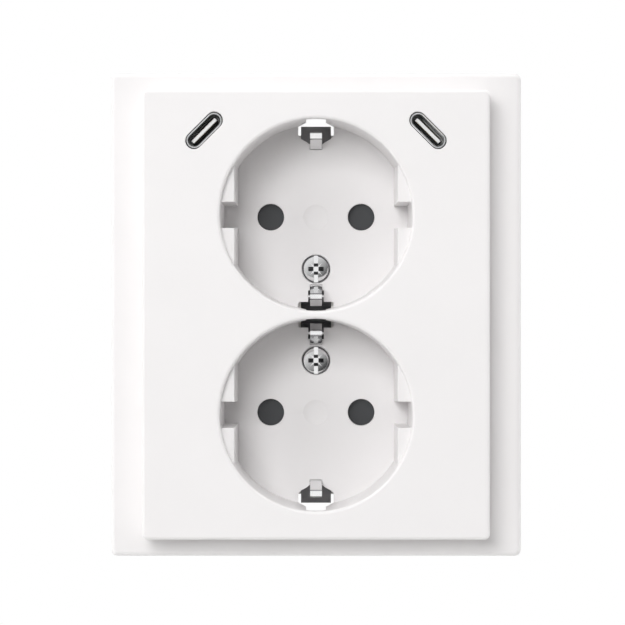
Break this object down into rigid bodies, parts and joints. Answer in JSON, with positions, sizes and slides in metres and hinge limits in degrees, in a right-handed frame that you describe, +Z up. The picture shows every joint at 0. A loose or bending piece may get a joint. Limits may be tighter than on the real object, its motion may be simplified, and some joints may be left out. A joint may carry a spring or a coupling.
{
  "type": "double wall socket with usb ports",
  "caption": "Flush wall socket with round side-earthed wells, shuttered pin holes and slanted USB ports in a raised plate on a flat outer frame.",
  "frame": {"origin": "on the wall plane, in the middle between the two box screws", "axes": "+Z up, +X to the right seen from the room, +Y into the wall; the front faces -Y"},
  "size_m": [0.085, 0.0541, 0.1],
  "materials": {
    "white_moulding": "smooth moulded, satin gloss",
    "plated_steel": "nickel plated, bright",
    "zinc_steel": "zinc plated sheet",
    "base_moulding": "matte moulded",
    "housing_moulding": "matte moulded",
    "shutter_moulding": "dark grey moulded",
    "spring_steel": "drawn wire and rolled strip",
    "contact_metal": "nickel plated, stamped",
    "bare_brass": "stamped",
    "button_moulding": "moulded, coloured",
    "port_steel": "drawn stainless steel",
    "port_moulding": "moulded, light",
    "circuit_board": "glass-fibre board with lacquer",
    "lead_sleeve": "soft sleeve",
    "ferrite": "pressed and fired",
    "winding_tape": "taped",
    "capacitor_sleeve": "shrunk sleeve",
    "chip_moulding": "moulded",
    "fuse_sleeve": "moulded sleeve"
  },
  "bodies": {
    "socket": {"cover_frame": "white_moulding", "centre_plate": "white_moulding", "plate_screw_upper": "plated_steel", "plate_screw_lower": "plated_steel", "mounting_plate": "zinc_steel", "insert_base": "base_moulding", "rear_housing": "housing_moulding", "housing_screws": "plated_steel", "shutter_spring_upper": "spring_steel", "shutter_spring_lower": "spring_steel", "earth_strap": "contact_metal", "earth_rivets": "contact_metal", "earth_bar": "contact_metal", "live_contact": "bare_brass", "neutral_contact": "bare_brass", "clamp_spring_live": "spring_steel", "clamp_spring_neutral": "spring_steel", "clamp_spring_earth": "spring_steel", "usb_shell_left": "port_steel", "usb_shell_right": "port_steel", "usb_tongue_left": "port_moulding", "usb_tongue_right": "port_moulding", "usb_board_left": "circuit_board", "usb_board_right": "circuit_board", "usb_lead_left": "lead_sleeve", "usb_lead_right": "lead_sleeve", "usb_board_screws": "plated_steel", "charger_board": "circuit_board", "transformer_core": "ferrite", "transformer_winding": "winding_tape", "input_capacitor": "capacitor_sleeve", "output_capacitor": "capacitor_sleeve", "bridge_rectifier": "chip_moulding", "converter_chip": "chip_moulding", "fuse": "fuse_sleeve"},
    "shutter_upper": {"shutter_upper": "shutter_moulding"},
    "shutter_lower": {"shutter_lower": "shutter_moulding"},
    "release_button_live": {"release_button_live": "button_moulding"},
    "release_button_neutral": {"release_button_neutral": "button_moulding"},
    "release_button_earth": {"release_button_earth": "button_moulding"}
  },
  "joints": [
    {"name": "shutter_upper_turn", "type": "hinge", "parent": "socket", "child": "shutter_upper", "pos_m": [0, -0.0042, 0.0205], "axis": [0, 1, 0], "range_deg": [0, 40], "stiffness_Nm_per_rad": 0.002, "springref_deg": -20.05},
    {"name": "shutter_lower_turn", "type": "hinge", "parent": "socket", "child": "shutter_lower", "pos_m": [0, -0.0042, -0.0205], "axis": [0, 1, 0], "range_deg": [0, 40], "stiffness_Nm_per_rad": 0.002, "springref_deg": -20.05},
    {"name": "release_live_push", "type": "slide", "parent": "socket", "child": "release_button_live", "axis": [0, -1, 0], "range_m": [0, 0.0014], "stiffness_N_per_m": 800, "springref_m": -0.0006},
    {"name": "release_neutral_push", "type": "slide", "parent": "socket", "child": "release_button_neutral", "axis": [0, -1, 0], "range_m": [0, 0.0014], "stiffness_N_per_m": 800, "springref_m": -0.0006},
    {"name": "release_earth_push", "type": "slide", "parent": "socket", "child": "release_button_earth", "axis": [0, -1, 0], "range_m": [0, 0.0014], "stiffness_N_per_m": 800, "springref_m": -0.0006}
  ]
}
